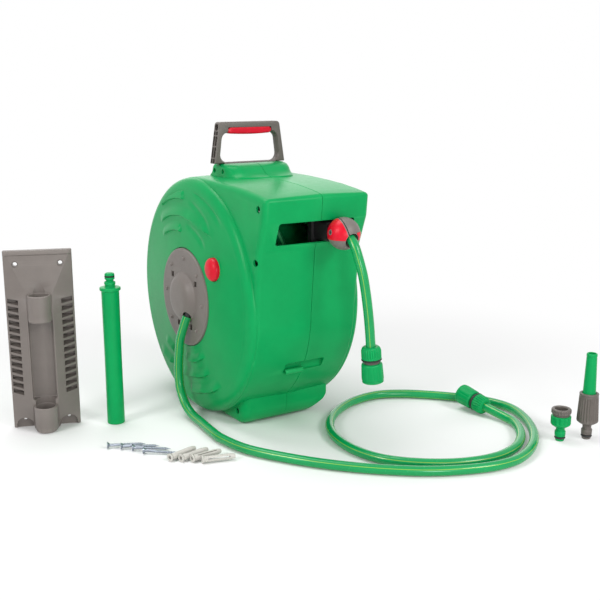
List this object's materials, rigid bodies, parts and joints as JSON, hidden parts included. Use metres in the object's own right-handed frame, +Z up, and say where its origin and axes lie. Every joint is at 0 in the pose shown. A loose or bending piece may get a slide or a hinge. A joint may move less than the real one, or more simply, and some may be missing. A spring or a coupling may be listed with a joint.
{
  "type": "retractable hose reel",
  "caption": "Closed wall-mount hose reel with spring rewind, swivel bracket, leader hose, stop ball and fittings kit",
  "frame": {"origin": "on the ground under the drum's axle, in the seam between the two halves of the housing, on the sole of its foot", "axes": "+X runs along the drum's axle away from the water inlet, -Y is the side where the hose comes out, +Z is up"},
  "size_m": [0.7542, 0.7103, 0.4795],
  "materials": {
    "green_plastic": "satin",
    "grey_plastic": "matt",
    "red_plastic": "satin",
    "black_rubber": "matt",
    "hose_vinyl": "satin",
    "inner_plastic": "matt",
    "spring_steel": "bare",
    "zinc_steel": "bright zinc",
    "plug_nylon": "matt"
  },
  "bodies": {
    "housing": {"left_shell": "green_plastic", "right_shell": "green_plastic", "inlet_cover": "grey_plastic", "spring_side_cover": "grey_plastic", "handle_frame": "grey_plastic", "handle_grip": "red_plastic", "main_shaft": "inner_plastic", "inlet_elbow": "inner_plastic", "inlet_seal": "black_rubber", "power_spring": "spring_steel", "pawl_pin": "spring_steel", "pawl_spring": "spring_steel", "idler_pin": "spring_steel", "guide_rod": "spring_steel", "button_spring": "spring_steel", "leader_hose": "hose_vinyl", "leader_nut": "green_plastic", "leader_body": "grey_plastic", "wall_bracket": "grey_plastic", "pivot_tube": "green_plastic", "wall_screw_1": "zinc_steel", "wall_screw_2": "zinc_steel", "wall_screw_3": "zinc_steel", "wall_screw_4": "zinc_steel", "wall_plug_1": "plug_nylon", "wall_plug_2": "plug_nylon", "wall_plug_3": "plug_nylon", "wall_plug_4": "plug_nylon", "tap_adaptor": "green_plastic", "adaptor_reducer": "grey_plastic", "adaptor_seal": "black_rubber", "nozzle_body": "grey_plastic", "nozzle_seal": "black_rubber"},
    "drum": {"left_bush": "plug_nylon", "right_bush": "plug_nylon", "left_flange": "inner_plastic", "right_flange": "inner_plastic", "drum_core": "inner_plastic", "wound_hose_core": "hose_vinyl", "hose_winding": "hose_vinyl", "spring_case": "inner_plastic", "ratchet_wheel": "inner_plastic", "drum_gear": "plug_nylon"},
    "idler": {"idler_gear": "plug_nylon"},
    "traverse": {"traverse_screw": "inner_plastic", "screw_gear": "plug_nylon"},
    "carriage": {"hose_carriage": "inner_plastic", "feed_hose": "hose_vinyl", "ball_half_left": "red_plastic", "ball_half_right": "red_plastic", "outlet_hose": "hose_vinyl", "outlet_nut": "green_plastic", "outlet_body": "grey_plastic"},
    "outlet_release": {"outlet_sleeve": "green_plastic"},
    "button": {"brake_button": "red_plastic"},
    "pawl": {"ratchet_pawl": "spring_steel"},
    "leader_release": {"leader_sleeve": "green_plastic"},
    "nozzle_adjuster": {"nozzle_tip": "green_plastic"}
  },
  "joints": [
    {"name": "drum_spin", "type": "hinge", "parent": "housing", "child": "drum", "pos_m": [0, 0, 0.198], "axis": [1, 0, 0], "continuous": true},
    {"name": "idler_spin", "type": "hinge", "parent": "housing", "child": "idler", "pos_m": [0.0703, -0.1192, 0.26138], "axis": [1, 0, 0], "continuous": true},
    {"name": "traverse_spin", "type": "hinge", "parent": "housing", "child": "traverse", "pos_m": [0, -0.181, 0.29424], "axis": [1, 0, 0], "continuous": true},
    {"name": "carriage_slide", "type": "slide", "parent": "housing", "child": "carriage", "axis": [1, 0, 0], "range_m": [-0.081, 0.019]},
    {"name": "outlet_sleeve_slide", "type": "slide", "parent": "carriage", "child": "outlet_release", "axis": [-0.095, 0, 0.9955], "range_m": [0, 0.0042], "stiffness_N_per_m": 300},
    {"name": "button_press", "type": "slide", "parent": "housing", "child": "button", "axis": [1, 0, 0], "range_m": [0, 0.005], "stiffness_N_per_m": 400, "deforming": ["button_spring"]},
    {"name": "pawl_pivot", "type": "hinge", "parent": "housing", "child": "pawl", "pos_m": [-0.0678, 0.02697, 0.26476], "axis": [1, 0, 0], "range_deg": [-6, 10], "stiffness_Nm_per_rad": 0.1},
    {"name": "leader_sleeve_slide", "type": "slide", "parent": "housing", "child": "leader_release", "axis": [0.0457, -0.9882, -0.1464], "range_m": [0, 0.0042], "stiffness_N_per_m": 300},
    {"name": "nozzle_twist", "type": "hinge", "parent": "housing", "child": "nozzle_adjuster", "pos_m": [0.3491, -0.4481, 0], "axis": [0, 0, 1], "range_deg": [-90, 90]}
  ],
  "couplings": [
    {"joint": "idler_spin", "follows": "drum_spin", "ratio": -1.4545},
    {"joint": "traverse_spin", "follows": "drum_spin", "ratio": 5.3333}
  ]
}
